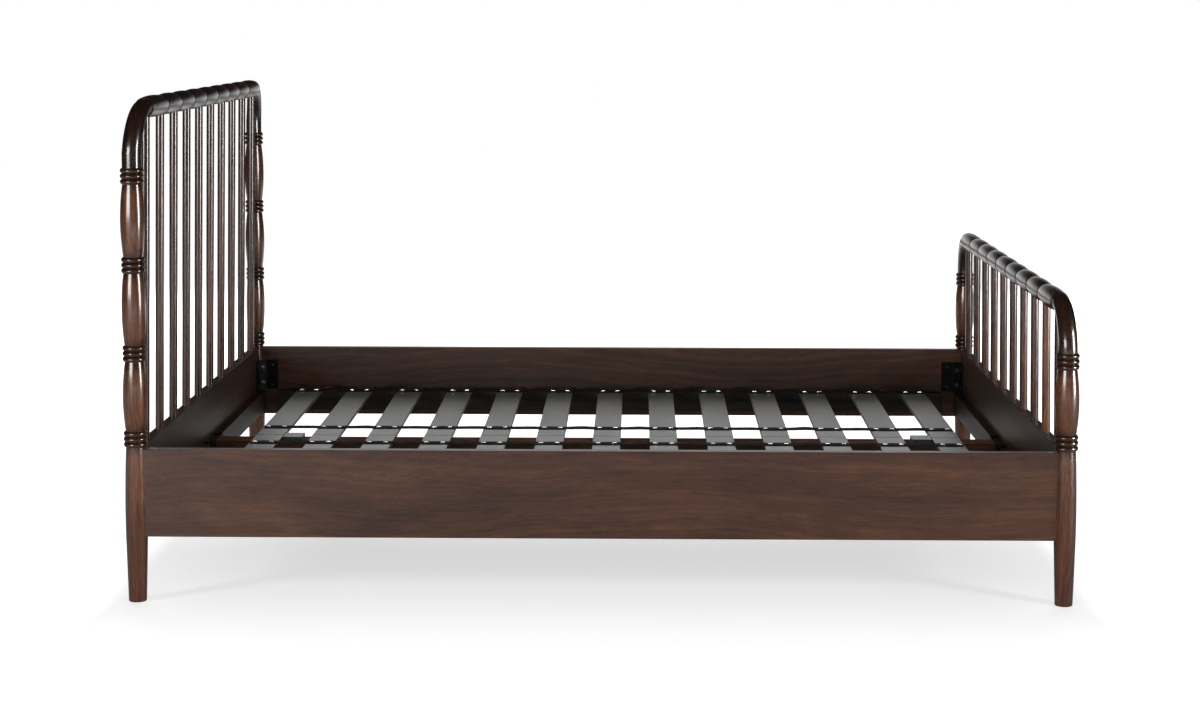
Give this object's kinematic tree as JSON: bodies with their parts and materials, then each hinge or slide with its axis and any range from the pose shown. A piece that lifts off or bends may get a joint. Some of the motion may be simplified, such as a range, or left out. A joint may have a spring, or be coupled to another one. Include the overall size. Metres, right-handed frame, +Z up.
{
  "type": "bed",
  "caption": "Dark wood bed frame with turned posts, bent elbows, beaded top rails and spindles at head and foot, deep side rails and loose strapped slat rolls on a legged centre beam.",
  "frame": {"origin": "on the floor, under the middle of the bed", "axes": "+X from the headboard to the footboard, +Y to the sleeper's left, +Z up"},
  "size_m": [2.155, 1.627, 1.1435],
  "materials": {
    "wood_dark": "dark mahogany stain, satin lacquer",
    "wood_brown": "mid-brown stain, matt",
    "slat_grey": "grey satin paint",
    "webbing_black": "woven webbing, matt",
    "staple_steel": "bright wire",
    "bracket_black": "black powder coat",
    "fastener_steel": "dull zinc plate",
    "insert_brass": "plain",
    "glide_plastic": "black moulded plastic on a steel stem"
  },
  "bodies": {
    "frame": {"beam_hangers": "bracket_black", "beam_stop_blocks": "slat_grey", "bed_bolts": "fastener_steel", "centre_beam": "wood_dark", "centre_leg_1": "wood_dark", "centre_leg_2": "wood_dark", "centre_leg_3": "wood_dark", "corner_brackets": "bracket_black", "foot_cleat": "wood_dark", "foot_elbow_left": "wood_dark", "foot_elbow_right": "wood_dark", "foot_lower_rail": "wood_dark", "foot_post_left": "wood_dark", "foot_post_right": "wood_dark", "foot_spindle_1": "wood_dark", "foot_spindle_10": "wood_dark", "foot_spindle_2": "wood_dark", "foot_spindle_3": "wood_dark", "foot_spindle_4": "wood_dark", "foot_spindle_5": "wood_dark", "foot_spindle_6": "wood_dark", "foot_spindle_7": "wood_dark", "foot_spindle_8": "wood_dark", "foot_spindle_9": "wood_dark", "foot_top_rail": "wood_dark", "glide_inserts": "insert_brass", "head_cleat": "wood_dark", "head_elbow_left": "wood_dark", "head_elbow_right": "wood_dark", "head_lower_rail": "wood_dark", "head_post_left": "wood_dark", "head_post_right": "wood_dark", "head_spindle_1": "wood_dark", "head_spindle_10": "wood_dark", "head_spindle_2": "wood_dark", "head_spindle_3": "wood_dark", "head_spindle_4": "wood_dark", "head_spindle_5": "wood_dark", "head_spindle_6": "wood_dark", "head_spindle_7": "wood_dark", "head_spindle_8": "wood_dark", "head_spindle_9": "wood_dark", "head_top_rail": "wood_dark", "ledger_stop_blocks": "wood_brown", "leg_bolts": "fastener_steel", "long_screws": "fastener_steel", "rail_ledger_left": "wood_dark", "rail_ledger_right": "wood_dark", "short_screws": "fastener_steel", "side_rail_left": "wood_dark", "side_rail_right": "wood_dark"},
    "slat_roll_left": {"slats_left": "slat_grey", "straps_left": "webbing_black", "staples_left": "staple_steel"},
    "slat_roll_right": {"slats_right": "slat_grey", "straps_right": "webbing_black", "staples_right": "staple_steel"},
    "glide_1": {"levelling_glide_1": "glide_plastic"},
    "glide_2": {"levelling_glide_2": "glide_plastic"},
    "glide_3": {"levelling_glide_3": "glide_plastic"}
  },
  "joints": [
    {"name": "slat_lift_left", "type": "slide", "parent": "frame", "child": "slat_roll_left", "axis": [0, 0, 1], "range_m": [0, 0.3]},
    {"name": "slat_lift_right", "type": "slide", "parent": "frame", "child": "slat_roll_right", "axis": [0, 0, 1], "range_m": [0, 0.3]},
    {"name": "glide_screw_1", "type": "slide", "parent": "frame", "child": "glide_1", "axis": [0, 0, 1], "range_m": [0, 0.01]},
    {"name": "glide_screw_2", "type": "slide", "parent": "frame", "child": "glide_2", "axis": [0, 0, 1], "range_m": [0, 0.01]},
    {"name": "glide_screw_3", "type": "slide", "parent": "frame", "child": "glide_3", "axis": [0, 0, 1], "range_m": [0, 0.01]}
  ]
}
